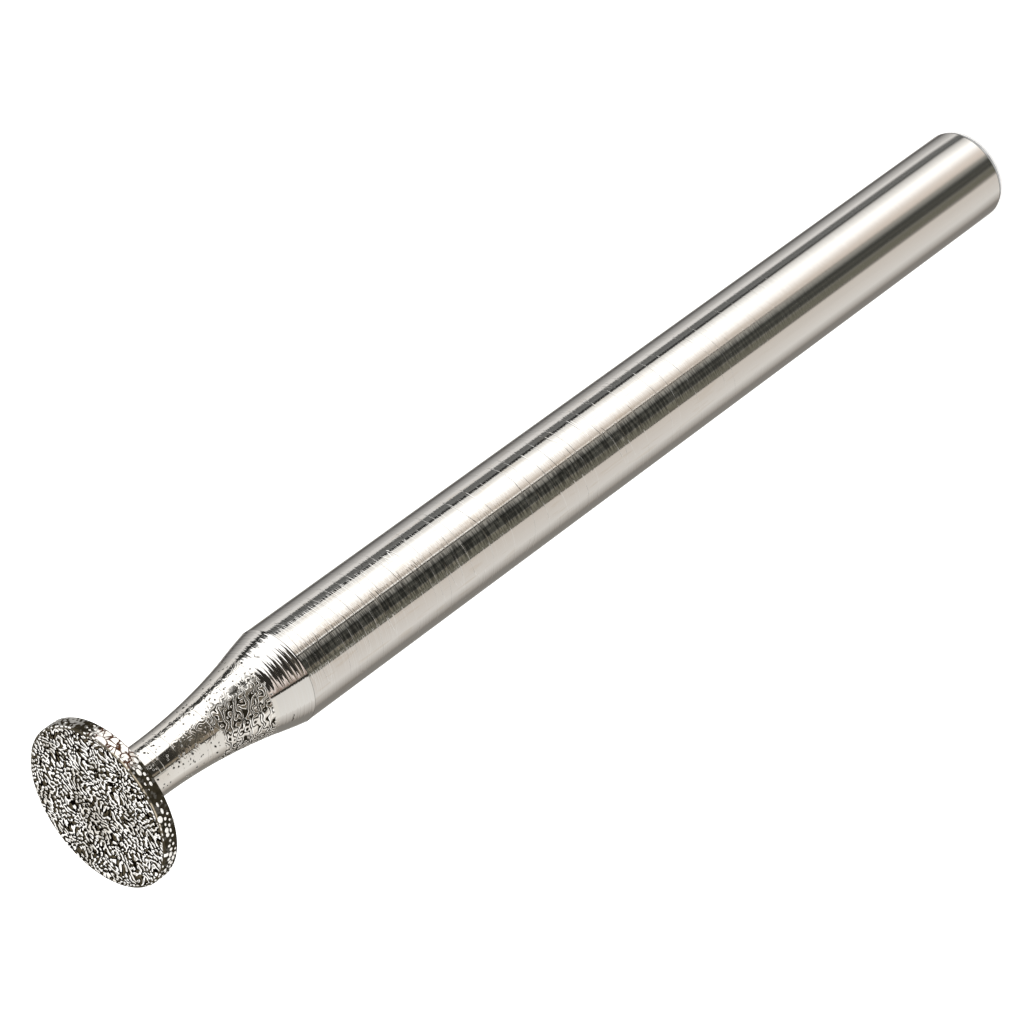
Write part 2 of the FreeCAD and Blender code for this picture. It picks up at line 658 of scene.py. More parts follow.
def crust_heights(points, pitch, seed):
    """Winding ridges like a maze, with worms, loops and a few wide pits; 0 lies at mid height."""
    random = np.random.default_rng(seed)

    def layer(x, y, size, spacing, spread):
        return read_square(banded_noise(random, size, spacing, spread), x, y)

    x, y = points[:, 0], points[:, 1]
    bent_x = x + BEND * layer(x, y, BEND_GRID, BEND_PITCH, BEND_SPREAD)
    bent_y = y + BEND * layer(x, y, BEND_GRID, BEND_PITCH, BEND_SPREAD)
    maze = layer(bent_x, bent_y, MAZE_GRID, pitch, MAZE_SPREAD)
    worms = layer(bent_x, bent_y, MAZE_GRID, pitch * WORM_PITCHES, WORM_SPREAD)
    swell = layer(x, y, WIDE_GRID, pitch * SWELL_PITCHES, SWELL_SPREAD)
    veins = layer(bent_x, bent_y, WIDE_GRID, pitch * VEIN_PITCHES, VEIN_SPREAD)
    veins = np.maximum(1 - np.abs(veins) / VEIN_WIDTH, 0)
    pits = np.maximum(swell - PIT_START, 0)
    height = maze + WORM_SHARE * worms + SWELL_SHARE * swell - PIT_SHARE * pits
    return height - CRUST_DROP + VEIN_SHARE * veins


def note_crust(mesh, pitch, seed):
    """Keeps the crust's height at each point of the mesh, for its shape and its colour."""
    points = np.empty(len(mesh.vertices) * 3)
    mesh.vertices.foreach_get("co", points)
    noted = mesh.attributes.new("crust", "FLOAT", "POINT")
    noted.data.foreach_set("value", crust_heights(points.reshape(-1, 3), pitch, seed))


# Patterns on the flare that its shape and its material share, in millimetres

def worm_pattern(place):
    """Winding worms, about 0 in their gaps and 1 on top."""
    worms = node(
        place, "ShaderNodeTexWave",
        {"Vector": place, "Scale": 3.1, "Distortion": 12.0, "Detail": 0.0, "Detail Scale": 1.6},
        wave_type="BANDS", bands_direction="DIAGONAL").outputs["Fac"]
    gaps = step(noise(place, 6.0, 0.0), 0.54, 0.68)
    return total(worms, product(gaps, 0.22))


def slow_drift(place):
    """Noise that wanders over the whole flare."""
    return noise(place, 2.6, 2.0)


def patch_area(place, above, drift):
    """1 where the plating took roughly; above is the height from the flare's foot."""
    end = run(drift, *PATCH_END)
    patch = window(above, (*PATCH_START, end, total(end, PATCH_END_SOFT)))
    side = calc("MULTIPLY_ADD", drift, PATCH_SIDE_DRIFT, azimuth_of(place))
    return product(patch, step(side, *PATCH_SIDE))


# Geometry Nodes

def new_shape_tree(name, numbers, whole_numbers=()):
    """A Geometry Nodes tree with its Geometry sockets and its named inputs, and their values."""
    tree = bpy.data.node_groups.new(name, "GeometryNodeTree")
    for side in ("INPUT", "OUTPUT"):
        tree.interface.new_socket(name="Geometry", in_out=side, socket_type="NodeSocketGeometry")
    add_inputs(tree, "NodeSocketFloat", *numbers)
    add_inputs(tree, "NodeSocketInt", *whole_numbers)
    return tree, node(tree, "NodeGroupInput").outputs


def moved_shape(shape, offset):
    """A shape with its points moved."""
    made = node(shape, "GeometryNodeSetPosition", {"Geometry": shape, "Offset": offset})
    return made.outputs["Geometry"]


def end_tree(shape, coats):
    """Ends a tree in Realize Instances and a Set Material for each pair of faces and material."""
    made = node(shape, "GeometryNodeRealizeInstances", {"Geometry": shape})
    for chosen, material in coats:
        made = node(
            shape, "GeometryNodeSetMaterial",
            {"Geometry": made.outputs["Geometry"], "Selection": chosen, "Material": material})
    node(shape, "NodeGroupOutput", {"Geometry": made.outputs["Geometry"]})


def bake_tree(made, tree, **values):
    """Runs a tree on a piece with its named inputs set, and keeps the result as a plain mesh."""
    modifier = made.modifiers.new(tree.name, "NODES")
    modifier.node_group = tree
    for item in tree.interface.items_tree:
        key = item.name.lower()
        if item.in_out == "INPUT" and key in values:
            modifier[item.identifier] = values[key]
    bpy.context.view_layer.update()
    evaluated = made.evaluated_get(bpy.context.evaluated_depsgraph_get())
    mesh = bpy.data.meshes.new_from_object(evaluated)
    made.modifiers.clear()
    old = made.data
    made.data = mesh
    bpy.data.meshes.remove(old)
    mesh.name = made.name


def ring_cut(given, height):
    """The depth of the shoulder's rings, uneven in spacing and in depth."""
    raw = calc("DIVIDE", calc("SUBTRACT", height, given["Start"]), given["Pitch"])
    drift = node(
        raw, "ShaderNodeTexNoise", {"W": raw, "Scale": 0.9, "Detail": 0.0},
        noise_dimensions="1D").outputs["Fac"]
    count = total(raw, product(drift, 1.3))
    luck = node(
        count, "ShaderNodeTexWhiteNoise",
        {"W": total(calc("FLOOR", count), given["Seed"])},
        noise_dimensions="1D").outputs["Value"]
    turn = product(calc("FRACT", count), math.tau)
    hollow = run(calc("COSINE", turn), 0.5, 0.0)
    deep = product(given["Depth"], run(luck, 0.3, 1.0))
    fade = product(
        step(height, given["Start"], total(given["Start"], 0.03 * MM)),
        step(height, given["End"], calc("SUBTRACT", given["End"], 0.12 * MM)))
    return product(hollow, deep, fade)


def worm_cut(given, place, height):
    """The depth of the gaps between the worms of the rough patch."""
    fine = scaled(place, 1 / MM)
    above = calc("DIVIDE", calc("SUBTRACT", height, given["End"]), MM)
    patch = patch_area(fine, above, slow_drift(fine))
    return product(patch, fall(worm_pattern(fine), *WORM_SLOPE), PATCH_RELIEF)


def blank_tree(zones):
    """Cuts rings into the shoulder and worms into the patch, and gives each zone its steel."""
    tree, given = new_shape_tree("turned_rings", ("Start", "End", "Pitch", "Depth"), ("Seed",))
    place = node(tree, "GeometryNodeInputPosition").outputs[0]
    height = height_of(place)
    cut = total(ring_cut(given, height), worm_cut(given, place, height))
    outwards = vector_calc("NORMALIZE", flattened(place))
    shape = moved_shape(given["Geometry"], scaled(outwards, product(cut, -1.0)))
    coats = []
    for low, high, steel in zones:
        inside = product(calc("GREATER_THAN", height, low), calc("LESS_THAN", height, high))
        coats.append((inside, steel))
    end_tree(shape, coats)
    return tree


def crust_tree(material):
    """Moves each point of the face to the height that its crust attribute gives it."""
    tree, given = new_shape_tree("grit_crust", ("Height", "Radius", "Top"))
    place = node(tree, "GeometryNodeInputPosition").outputs[0]
    crust = node(
        tree, "GeometryNodeInputNamedAttribute", {"Name": "crust"}, data_type="FLOAT").outputs[0]
    down = calc("SUBTRACT", step(crust, -1.1, 1.1), 1.0)
    edge = step(from_axis(place), given["Radius"], calc("SUBTRACT", given["Radius"], 0.08 * MM))
    on_top = step(height_of(place), calc("SUBTRACT", given["Top"], 0.06 * MM), given["Top"])
    offset = product(down, given["Height"], product(edge, on_top))
    up = node(tree, "ShaderNodeCombineXYZ", {"Z": offset}).outputs[0]
    end_tree(moved_shape(given["Geometry"], up), [(True, material)])
    return tree


def bead_tree(material):
    """Sinks small rounded grains into the rim and the back of the head."""
    tree, given = new_shape_tree(
        "rim_beads", ("Size", "Gap", "Density", "Middle", "Reach"), ("Seed",))
    place = node(tree, "GeometryNodeInputPosition").outputs[0]
    azimuth = azimuth_of(place)
    up = height_of(node(tree, "GeometryNodeInputNormal").outputs[0])
    on_rim = product(
        calc("COMPARE", up, 0.0, 0.2),
        calc("COMPARE", height_of(place), given["Middle"], given["Reach"]))
    on_back = product(
        calc("LESS_THAN", up, -0.8),
        calc("GREATER_THAN", from_axis(place), BACK_BARE_R))
    crowded = largest(step(azimuth, *BEAD_CROWD), window(azimuth, BEAD_CLUMP))
    bald = product(window(azimuth, BEAD_GAP), on_rim)
    share = product(
        run(crowded, 0.60, 0.95), rest_of(bald),
        run(step(azimuth, *SPARSE_BEADS), 0.25, 1.0))
    scatter = node(
        tree, "GeometryNodeDistributePointsOnFaces",
        {"Mesh": given["Geometry"], "Selection": largest(on_rim, on_back),
         "Distance Min": given["Gap"], "Density Max": given["Density"],
         "Density Factor": share, "Seed": given["Seed"]},
        distribute_method="POISSON").outputs
    bead = node(tree, "GeometryNodeMeshUVSphere", {"Segments": 8, "Rings": 5, "Radius": 0.5})
    smooth = node(tree, "GeometryNodeSetShadeSmooth", {"Geometry": bead.outputs["Mesh"]})
    size = node(
        tree, "FunctionNodeRandomValue",
        {"Min": 0.5, "Max": 1.0, "Seed": given["Seed"]}, data_type="FLOAT").outputs["Value"]
    form = node(
        tree, "FunctionNodeRandomValue",
        {"Min": (0.8, 0.65, 0.40), "Max": (1.5, 1.0, 0.55), "Seed": 3},
        data_type="FLOAT_VECTOR").outputs["Value"]
    size = product(size, run(crowded, 0.70, 1.0), given["Size"])
    inward = scaled(scatter["Normal"], product(given["Size"], -BEAD_SINK_SHARE))
    grains = node(
        tree, "GeometryNodeInstanceOnPoints",
        {"Points": moved_shape(scatter["Points"], inward),
         "Instance": smooth.outputs["Geometry"], "Rotation": scatter["Rotation"],
         "Scale": scaled(form, size)})
    end_tree(grains.outputs["Instances"], [(True, material)])
    return tree


# Materials

def new_material(name):
    """A node material with an empty tree."""
    made = bpy.data.materials.new(name)
    made.use_nodes = True
    made.node_tree.nodes.clear()
    return made, made.node_tree


def object_place(tree):
    """Object coordinates in millimetres."""
    return scaled(node(tree, "ShaderNodeTexCoord").outputs["Object"], 1 / MM)


def ring_marks(place, pitch, depth, wander):
    """Fine marks all round the bar; wander is how often one runs out in a millimetre."""
    return product(streaks(place, (wander, wander, 1.0 / pitch)), depth * MM)


def metal(colour, roughness, heights=None, bare=1.0):
    """Ends a tree in metal, bumped by heights in metres, and dulled where bare is 0 to a plain
    colour, residue or painted shade.
    """
    shader = node(
        colour, "ShaderNodeBsdfPrincipled",
        {"Base Color": colour, "Metallic": bare, "Roughness": roughness,
         "Specular IOR Level": 0.0})
    if heights is not None:
        bump = node(colour, "ShaderNodeBump", {"Strength": 1.0, "Distance": 1.0, "Height": heights})
        put(shader.inputs["Normal"], bump.outputs["Normal"])
    node(colour, "ShaderNodeOutputMaterial", {"Surface": shader.outputs[0]})


def shank_material(finish):
    """Steel polished to a near mirror, with fine marks round the bar that fade towards its end, and
    painted reflection fringes, light and dark arcs, on the side towards the camera.
    """
    made, tree = new_material("polished_steel")
    place = object_place(tree)
    height = height_of(place)
    scratches = crossings(streaks(place, (0.25, 0.25, 2.3)), 0.014)
    heights = total(
        ring_marks(place, pitch=0.034, depth=0.0025, wander=0.35),
        product(scratches, -0.0016 * MM))
    heights = product(heights, run(step(height, 6.0, 22.0), 0.2, 1.0))
    tone = streaks(place, (3.0, 3.0, 0.15), detail=2.0)
    colour = tint(tone, rgba(finish.steel, 0.95), rgba(finish.steel, 1.03))
    warm = step(streaks(place, (7.0, 7.0, 0.9), detail=2.0), 0.55, 0.70)
    warm = product(warm, step(height, 8.0, 20.0), 0.5)
    colour = tint(warm, colour, rgba(WARM_STREAK))
    # Painted reflection fringes: light and dark arcs round the bar, only on the side towards the
    # camera, stand in for the broken reflection of the rings there.
    painted_fringes = step(streaks(place, (2.2, 2.2, 16.0)), 0.38, 0.62)
    painted_fringes = tint(painted_fringes, rgba(finish.steel, 0.45), rgba(finish.steel, 1.2))
    fringe_side = product(window(azimuth_of(place), FRINGED_SHANK_SIDE), step(height, 6.0, 20.0))
    colour = tint(fringe_side, colour, painted_fringes)
    satin = window(height, (0.15, 0.5, 0.5, 15.0))
    roughness = run(satin, finish.steel_roughness, finish.steel_roughness + 0.04)
    metal(colour, roughness, heights)
    return made


def shoulder_material(finish, start_z):
    """Steel fresh from the turning tool."""
    made, tree = new_material("turned_steel")
    place = object_place(tree)
    start = start_z / MM
    tone = noise(place, 1.5)
    colour = tint(tone, rgba(finish.steel, 0.97), rgba(finish.steel, 1.03))
    notch = fall(height_of(place), start + 0.010, start + 0.035)
    colour = tint(product(notch, 0.5), colour, rgba(finish.recess))
    near = vector_calc("MULTIPLY", warped(place, amount=0.3, scale=6.0), (1.6, 1.6, 5.0))
    scars = speckle(near, 1.0, share=0.22, core=0.10, edge=0.24)
    colour = tint(product(scars, 0.8), colour, rgba(finish.recess))
    heights = ring_marks(place, pitch=0.035, depth=0.0014, wander=0.5)
    metal(colour, finish.steel_roughness, heights)
    return made


def neck_material(finish, flare_z):
    """Bright plating with scattered pits, and a patch by the shoulder where it took roughly, with
    black painted shade between its worms and brown painted shade over their tops on the side
    towards the camera.
    """
    made, tree = new_material("plated_neck")
    place = object_place(tree)
    azimuth = azimuth_of(place)
    above = calc("SUBTRACT", height_of(place), flare_z / MM)
    drift = slow_drift(place)
    patch = patch_area(place, above, drift)
    worms = worm_pattern(place)

    near = warped(place, amount=0.09, scale=9.0)
    pits = largest(
        speckle(near, 5.2, share=0.42, core=0.12, edge=0.26),
        speckle(near, 9.0, share=0.30, core=0.16, edge=0.34))
    # Painted shade on the rough patch: black in the gaps between the worms, and brown over the tops
    # of the worms on the side towards the camera, where the dark reflection lies.
    shaded = product(window(azimuth, SHADED_WORMS), step(worms, 0.62, 0.78))
    worn = colour_ramp(worms, (
        (WORM_EDGE[0], rgba(finish.recess, 0.4)), (WORM_EDGE[1], rgba(finish.nickel, 1.12))))
    worn = tint(shaded, worn, rgba(WORM_SHADE))
    colour = tint(patch, rgba(finish.nickel), worn)
    colour = tint(pits, colour, rgba(finish.recess, 0.4))

    dents = speckle(near, 9.0, share=0.22, core=0.05, edge=0.50)
    lines = crossings(streaks(place, (0.3, 0.3, 2.6)), 0.016)
    lines = product(lines, step(drift, 0.40, 0.60))
    beside = product(
        window(above, (0.9, 1.6, run(drift, 2.0, 4.0), run(drift, 2.5, 4.5))),
        window(azimuth, GRAZED_FLARE))
    rough = largest(
        product(window(azimuth, GRAZED_LINE), 0.22),
        product(beside, 0.30), product(patch, 0.7))
    heights = total(
        product(noise(place, 8.0), 0.0004 * MM),
        product(dents, -0.0014 * MM), product(pits, -0.008 * MM),
        product(lines, -0.0035 * MM),
        product(rough, step(worms, *WORM_SLOPE), PATCH_RELIEF))

    # Where the painted shade lies, the plating is not metal.
    painted_shade_share = product(patch, largest(product(shaded, 0.7), fall(worms, *WORM_EDGE)))
    bare = rest_of(largest(pits, painted_shade_share))
    metal(colour, finish.nickel_roughness, heights, bare)
    return made


def crust_material(finish):
    """Plated ridges, bright on top, outlined in black painted shade, with olive residue in the wide
    recesses, darker at their bottoms.
    """
    made, tree = new_material("diamond_grit")
    place = object_place(tree)
    crust = node(tree, "ShaderNodeAttribute", attribute_name="crust").outputs["Fac"]
    rise = node(
        tree, "ShaderNodeMapRange",
        {"Value": crust, "From Min": -2.0, "From Max": 2.0}).outputs["Result"]
    # Colour by height: olive residue in the valleys, darker at their bottoms; black painted shade
    # from there up the flanks to the foot of each ridge; bright nickel above.
    colour = colour_ramp(rise, (
        (0.00, rgba(OLIVE_DEEP)),
        (0.14, rgba(OLIVE_LIGHT)),
        (0.22, rgba(OLIVE)),
        (0.28, rgba(FLANK_SHADE)),
        (0.555, rgba(RIDGE_FOOT_SHADE)),
        (0.590, rgba(finish.grit, 1.1)),
        (0.63, rgba(finish.grit, 1.45)),
        (0.80, rgba(finish.grit, 1.40)),
        (0.92, rgba(finish.grit, 0.60)),
        (1.00, rgba(finish.grit, 0.50))))
    dull = step(noise(place, 1.3, 2.0), 0.50, 0.66)
    colour = tint(product(dull, 0.6), colour, rgba(DULL_FILM), mode="MULTIPLY")
    edge = step(from_axis(place), HEAD_R / MM - 0.115, HEAD_R / MM - 0.095)
    colour = tint(edge, colour, rgba(OLIVE))
    ridge = product(step(rise, 0.545, 0.595), rest_of(edge))
    metal(colour, 0.20, bare=ridge)
    return made


def rim_material(finish):
    """The plating between the grains, brown with residue but for one stretch of bright bare nickel,
    a painted highlight on the side where the key light shines in the rim.
    """
    made, tree = new_material("plated_rim")
    place = object_place(tree)
    azimuth = azimuth_of(place)
    ragged = noise(place, 7.0)
    mottled = noise(place, 8.0)

    # Painted highlight: a ragged stretch of bright bare nickel on the side where the key light
    # shines in the rim; elsewhere the rim is residue.
    about = calc("MULTIPLY_ADD", ragged, 24.0, calc("SUBTRACT", azimuth, 12.0))
    bare = window(about, RIM_HIGHLIGHT_STRETCH)
    loops = node(
        tree, "ShaderNodeTexVoronoi",
        {"Vector": warped(place, amount=0.12, scale=6.0, detail=0.0), "Scale": 5.2},
        feature="DISTANCE_TO_EDGE").outputs["Distance"]
    spots = product(fall(loops, 0.05, 0.14), step(noise(place, 3.0, 0.0), 0.36, 0.46))
    rust = tint(spots, rgba(finish.nickel, 1.1), rgba(RUST))

    left = fall(azimuth, *PALE_RIM)
    pale = product(
        step(mottled, run(left, 0.56, 0.44), run(left, 0.64, 0.52)),
        run(left, 0.06, 0.46))
    residue = tint(ragged, rgba(finish.recess, 0.2), rgba(finish.recess))
    residue = tint(pale, residue, rgba(finish.nickel, 0.9))
    colour = tint(bare, residue, rust)

    edge = product(
        step(from_axis(place), HEAD_R / MM - 0.10, HEAD_R / MM - 0.06),
        step(height_of(place), FACE_Z / MM - 0.05, FACE_Z / MM - 0.03))
    worn = product(window(azimuth, WORN_LIP), step(mottled, 0.36, 0.50))
    grains = speckle(place, 6.5, share=0.95, core=0.32, edge=0.48)
    lip = tint(grains, rgba(LIP_RESIDUE), rgba(finish.grit, 1.35))
    colour = tint(edge, colour, tint(worn, lip, rgba(WORN_TAN)))

    # Metal in the painted highlight except its rust spots, in the pale patches, and on the lip's
    # grains and worn stretch.
    metal_share = largest(product(bare, rest_of(spots)), pale)
    metal_share = blend(edge, metal_share, largest(worn, grains))
    metal(colour, 0.18, product(ragged, 0.012 * MM), metal_share)
    return made


def bead_material(finish):
    """Rounded grains under bright nickel."""
    made, tree = new_material("plated_bead")
    tone = noise(object_place(tree), 9.0)
    colour = tint(tone, rgba(finish.nickel, 0.95), rgba(finish.nickel, 1.12))
    metal(colour, 0.35, bare=0.4)
    return made


def floor_material(studio):
    """A plain pale floor with the faintest mottling, that glows a little."""
    made, tree = new_material("pale_floor")
    mottle = noise(node(tree, "ShaderNodeTexCoord").outputs["Object"], 40.0, 2.0)
    colour = tint(mottle, rgba(studio.floor_colour, 0.995), rgba(studio.floor_colour))
    matt = node(tree, "ShaderNodeBsdfDiffuse", {"Color": colour})
    glow = node(tree, "ShaderNodeEmission", {"Color": rgba(WHITE), "Strength": 0.3})
    both = node(tree, "ShaderNodeAddShader", {0: matt.outputs[0], 1: glow.outputs[0]})
    node(tree, "ShaderNodeOutputMaterial", {"Surface": both.outputs[0]})
    return made


# Studio

class Card(NamedTuple):
    """A soft light or a dark gap beside the bur, as its metal sees it.

    Angles are degrees round from the camera's side, and of rise from the shank's own reflection.
    An edge leans by so many degrees for each degree of rise past the rise where the lean starts.
    """
    name: str
    start: float
    end: float
    light: tuple
    end_light: tuple = ()
    lean: tuple = (0.0, 0.0)
    lean_from: float = 0.0
    soft: tuple = (1.0, 1.0)
    rises: tuple = (-90.0, 200.0)
    rise_soft: float = 5.0


THIN = {"soft": (0.5, 0.5)}
FAR_END = {"rises": (-200, -2.5), "rise_soft": 3.5}
FROM_ABOVE = {"rises": (-200, -30), "rise_soft": 8.0}
NECK = {"lean_from": 6, "rises": (3.6, 200), "rise_soft": 1.8}
SHOULDER = {"lean_from": 29, "rises": (20, 200), "rise_soft": 2.0}
CARDS = (
    Card("back_softbox", 158, 202, (1.10, 1.09, 1.07), soft=(16, 16)),
    Card("back_softbox_left", -202, -158, (1.10, 1.09, 1.07), soft=(16, 16)),
    Card("left_fade", -154, -112, (0.0, 0.0, 0.0), (0.66, 0.64, 0.62), soft=(4, 1)),
    Card("left_card", -115, -95, (0.72, 0.70, 0.68), (0.91, 0.88, 0.85), soft=(1, 2)),
    Card("left_gap", -101, -75, (0.13, 0.13, 0.125), (0.22, 0.22, 0.215)),
    Card("black_seam", -84.5, -77, (0.02, 0.02, 0.02), soft=(2, 0.5)),
    Card("warm_card", -77, -8.6, (0.90, 0.88, 0.84), (0.92, 0.82, 0.72)),
    Card("warm_shade", -24, -7, (0.60, 0.53, 0.46), soft=(10, 4)),
    Card("key_softbox", -75, -16, (1.42, 1.40, 1.37), lean=(0.6, -1.3), lean_from=-4,
         soft=(14, 16)),
    Card("far_shade", -44, -8.6, (1.05, 0.98, 0.92), (0.72, 0.62, 0.54), soft=(16, 1), **FAR_END),
    Card("far_left_shade", -79, -50, (0.56, 0.54, 0.51), (1.42, 1.38, 1.33), soft=(1, 8),
         **FAR_END),
    Card("dark_gap", -8.6, 7, (0.40, 0.38, 0.34), (0.13, 0.13, 0.12)),
    Card("deep_gap", 2, 27, (0.060, 0.060, 0.052), soft=(5, 2)),
    Card("olive_gap", 26, 44, (0.155, 0.147, 0.113), (0.17, 0.162, 0.126), soft=(2, 1)),
    Card("fill_card", 44, 112, (0.68, 0.62, 0.56), (0.80, 0.78, 0.75)),
    Card("fill_fade", 93, 128, (0.77, 0.74, 0.70), (0.24, 0.21, 0.18), soft=(1, 10)),
    Card("mid_seam", 6, 8.5, (0.03, 0.03, 0.026), **THIN),
    Card("mid_glint", 13, 15.5, (0.105, 0.10, 0.085), **THIN),
    Card("foot_light", -200, 200, (0.56, 0.57, 0.575), rises=(-200, -15), rise_soft=4.0),
    Card("foot_shade", -16, 48, (0.20, 0.19, 0.175), soft=(10, 14), **FROM_ABOVE),
    Card("foot_left_shade", -112, -66, (0.24, 0.235, 0.225), soft=(14, 10), **FROM_ABOVE),
    Card("foot_key", -66, -16, (1.1, 1.09, 1.07), soft=(12, 16), **FROM_ABOVE),
    Card("foot_dark", -200, 200, (0.10, 0.10, 0.095), rises=(-21, -13), rise_soft=3.0),
    Card("bright_seam", -12.6, -9.8, (1.45, 1.42, 1.36), soft=(0.3, 0.3), rises=(-3, 200)),
    Card("dark_seam", -9.8, -6.8, (0.01, 0.01, 0.006), soft=(0.3, 0.3), rises=(-6, 200)),
    Card("fine_seam", 42.4, 44.4, (0.03, 0.028, 0.02), **THIN),
    Card("neck_left", -104, -82, (0.035, 0.035, 0.033), soft=(7, 6), rises=(3.6, 24),
         rise_soft=1.8),
    Card("neck_key", -85, -20, (1.50, 1.48, 1.45), lean=(0.0, -1.1), soft=(5, 3), **NECK),
    Card("neck_black", -22, 25, (0.028, 0.026, 0.022), lean=(-1.1, -0.9), soft=(1, 3), **NECK),
    Card("neck_charcoal", -22, 25, (0.12, 0.11, 0.092), (0.13, 0.112, 0.086),
         lean=(-1.1, -0.9), lean_from=6, soft=(1, 3), rises=(8, 200), rise_soft=3.0),
    Card("neck_brown", 24, 32, (0.24, 0.20, 0.15), (0.27, 0.225, 0.17), lean=(-0.9, 0.0),
         soft=(3, 1), **NECK),
    Card("neck_fill", 31, 94, (0.80, 0.78, 0.745), (0.86, 0.84, 0.81), soft=(1, 4),
         rises=(3.6, 200), rise_soft=3.5),
    Card("shoulder_left", -102, -82, (0.03, 0.03, 0.028), lean=(0.8, 1.6), soft=(3, 2), **SHOULDER),
    Card("shoulder_key", -82, -30, (1.50, 1.48, 1.46), lean=(1.6, 2.0), soft=(2, 2), **SHOULDER),
    Card("shoulder_black", -33, 19, (0.032, 0.029, 0.025), lean=(2.6, -1.8), soft=(1, 2),
         **SHOULDER),
    Card("shoulder_blush", 18, 32, (1.20, 1.08, 1.01), (0.22, 0.145, 0.11), lean=(-1.8, 0.0),
         **SHOULDER),
    Card("shoulder_fill", 32, 94, (0.80, 0.77, 0.73), (0.84, 0.82, 0.78), soft=(1, 4), **SHOULDER),
    Card("high_seam", 31.5, 37.5, (0.03, 0.026, 0.020), **THIN, **NECK),
)
BACK_LIGHT = (0.25, 0.235, 0.215)
TENT_LIGHT = (1.45, 1.45, 1.44)
TENT_START = (12.0, 20.0)
FEATHER_RISE, FEATHER, FEATHER_MOST = -1.5, 1.1, 6.0
SHANK_REFLECTION = -36.2
FLOOR_SIDES = 64


def card_group():
    """One reflection card laid over what lies behind it; at low rises its edges are feathered."""
    tree = bpy.data.node_groups.new("reflection_card", "ShaderNodeTree")
    add_inputs(
        tree, "NodeSocketFloat", "Azimuth", "Rise", "Start", "End", "Start Lean", "End Lean",
        "Lean From", "Start Soft", "End Soft", "Low", "High", "Rise Soft")
    add_inputs(tree, "NodeSocketColor", "Start Light", "End Light", "Behind")
    tree.interface.new_socket(name="Light", in_out="OUTPUT", socket_type="NodeSocketColor")
    given = node(tree, "NodeGroupInput").outputs
    azimuth, rise = given["Azimuth"], given["Rise"]
    past = calc("SUBTRACT", rise, given["Lean From"])
    left = calc("MULTIPLY_ADD", past, given["Start Lean"], given["Start"])
    right = calc("MULTIPLY_ADD", past, given["End Lean"], given["End"])
    right = largest(right, total(left, 0.01))
    feather = product(calc("SUBTRACT", FEATHER_RISE, rise), FEATHER)
    feather = calc("MINIMUM", largest(feather, 0.0), FEATHER_MOST)
    enter = step(
        azimuth, calc("SUBTRACT", left, feather),
        total(left, given["Start Soft"], feather))
    leave = step(
        azimuth, total(right, feather),
        calc("SUBTRACT", calc("SUBTRACT", right, given["End Soft"]), feather))
    above = step(rise, given["Low"], total(given["Low"], given["Rise Soft"]))
    below = step(rise, given["High"], calc("SUBTRACT", given["High"], given["Rise Soft"]))
    share = node(
        tree, "ShaderNodeMapRange",
        {"Value": azimuth, "From Min": left, "From Max": right}).outputs["Result"]
    light = tint(share, given["Start Light"], given["End Light"])
    cover = product(enter, leave, product(above, below))
    node(tree, "NodeGroupOutput", {"Light": tint(cover, given["Behind"], light)})
    return tree


def studio_world():
    """A white tent of light above, and soft cards with dark gaps that shine in the metal."""
    world = bpy.data.worlds.new("studio")
    world.use_nodes = True
    world.cycles.sampling_method = "NONE"
    tree = world.node_tree
    tree.nodes.clear()
    toward = node(tree, "ShaderNodeTexCoord").outputs["Generated"]
    azimuth = azimuth_of(toward)
    elevation = calc("DEGREES", calc("ARCSINE", height_of(toward)))
    rise = calc("SUBTRACT", elevation, SHANK_REFLECTION)
    light = rgba(BACK_LIGHT)
    group = card_group()
    for card in CARDS:
        laid = node(tree, "ShaderNodeGroup", node_tree=group, label=card.name)
        values = {
            "Azimuth": azimuth, "Rise": rise, "Start": card.start, "End": card.end,
            "Start Lean": card.lean[0], "End Lean": card.lean[1], "Lean From": card.lean_from,
            "Start Soft": card.soft[0], "End Soft": card.soft[1], "Low": card.rises[0],
            "High": card.rises[1], "Rise Soft": card.rise_soft, "Start Light": rgba(card.light),
            "End Light": rgba(card.end_light or card.light), "Behind": light}
        for name, value in values.items():
            put(laid.inputs[name], value)
        light = laid.outputs["Light"]
    lit = tint(step(elevation, *TENT_START), light, rgba(TENT_LIGHT))
    seen = node(tree, "ShaderNodeLightPath").outputs["Is Camera Ray"]
    lit = tint(seen, lit, rgba(WHITE))
    background = node(tree, "ShaderNodeBackground", {"Color": lit, "Strength": 1.0})
    node(tree, "ShaderNodeOutputWorld", {"Surface": background.outputs[0]})
    return world


def floor(studio):
    """A round floor at the bur's foot, which the metal doesn't mirror."""
    angles = np.arange(FLOOR_SIDES) * 2 * math.pi / FLOOR_SIDES
    radius = studio.floor_radius
    points = [(radius * math.cos(a), radius * math.sin(a), 0.0) for a in angles]
    mesh = bpy.data.meshes.new("floor")
    mesh.from_pydata(points, [], [tuple(range(FLOOR_SIDES))])
    mesh.materials.append(floor_material(studio))
    made = piece("floor", mesh)
    made.visible_glossy = False


def camera(studio):
    """The camera, looking down on the standing bur, rolled to put its head at the lower left."""
    data = bpy.data.cameras.new("camera")
    data.lens = studio.focal_length
    data.sensor_width = 36
    data.clip_start = 1 * MM
    data.clip_end = 100
    back = Vector((0, -math.cos(studio.elevation), math.sin(studio.elevation)))
    turn = back.to_track_quat("Z", "Y").to_matrix() @ Matrix.Rotation(studio.roll, 3, "Z")
    aim = Vector((0, 0, studio.aim_height)) - turn.col[1] * studio.aim_offset
    made = piece("camera", data)
    made.matrix_world = Matrix.Translation(aim + back * studio.distance) @ turn.to_4x4()
    bpy.context.scene.camera = made


# Operators

def settings():
    """All settings of the bur, as the scene holds them."""
    return bpy.context.scene.bur


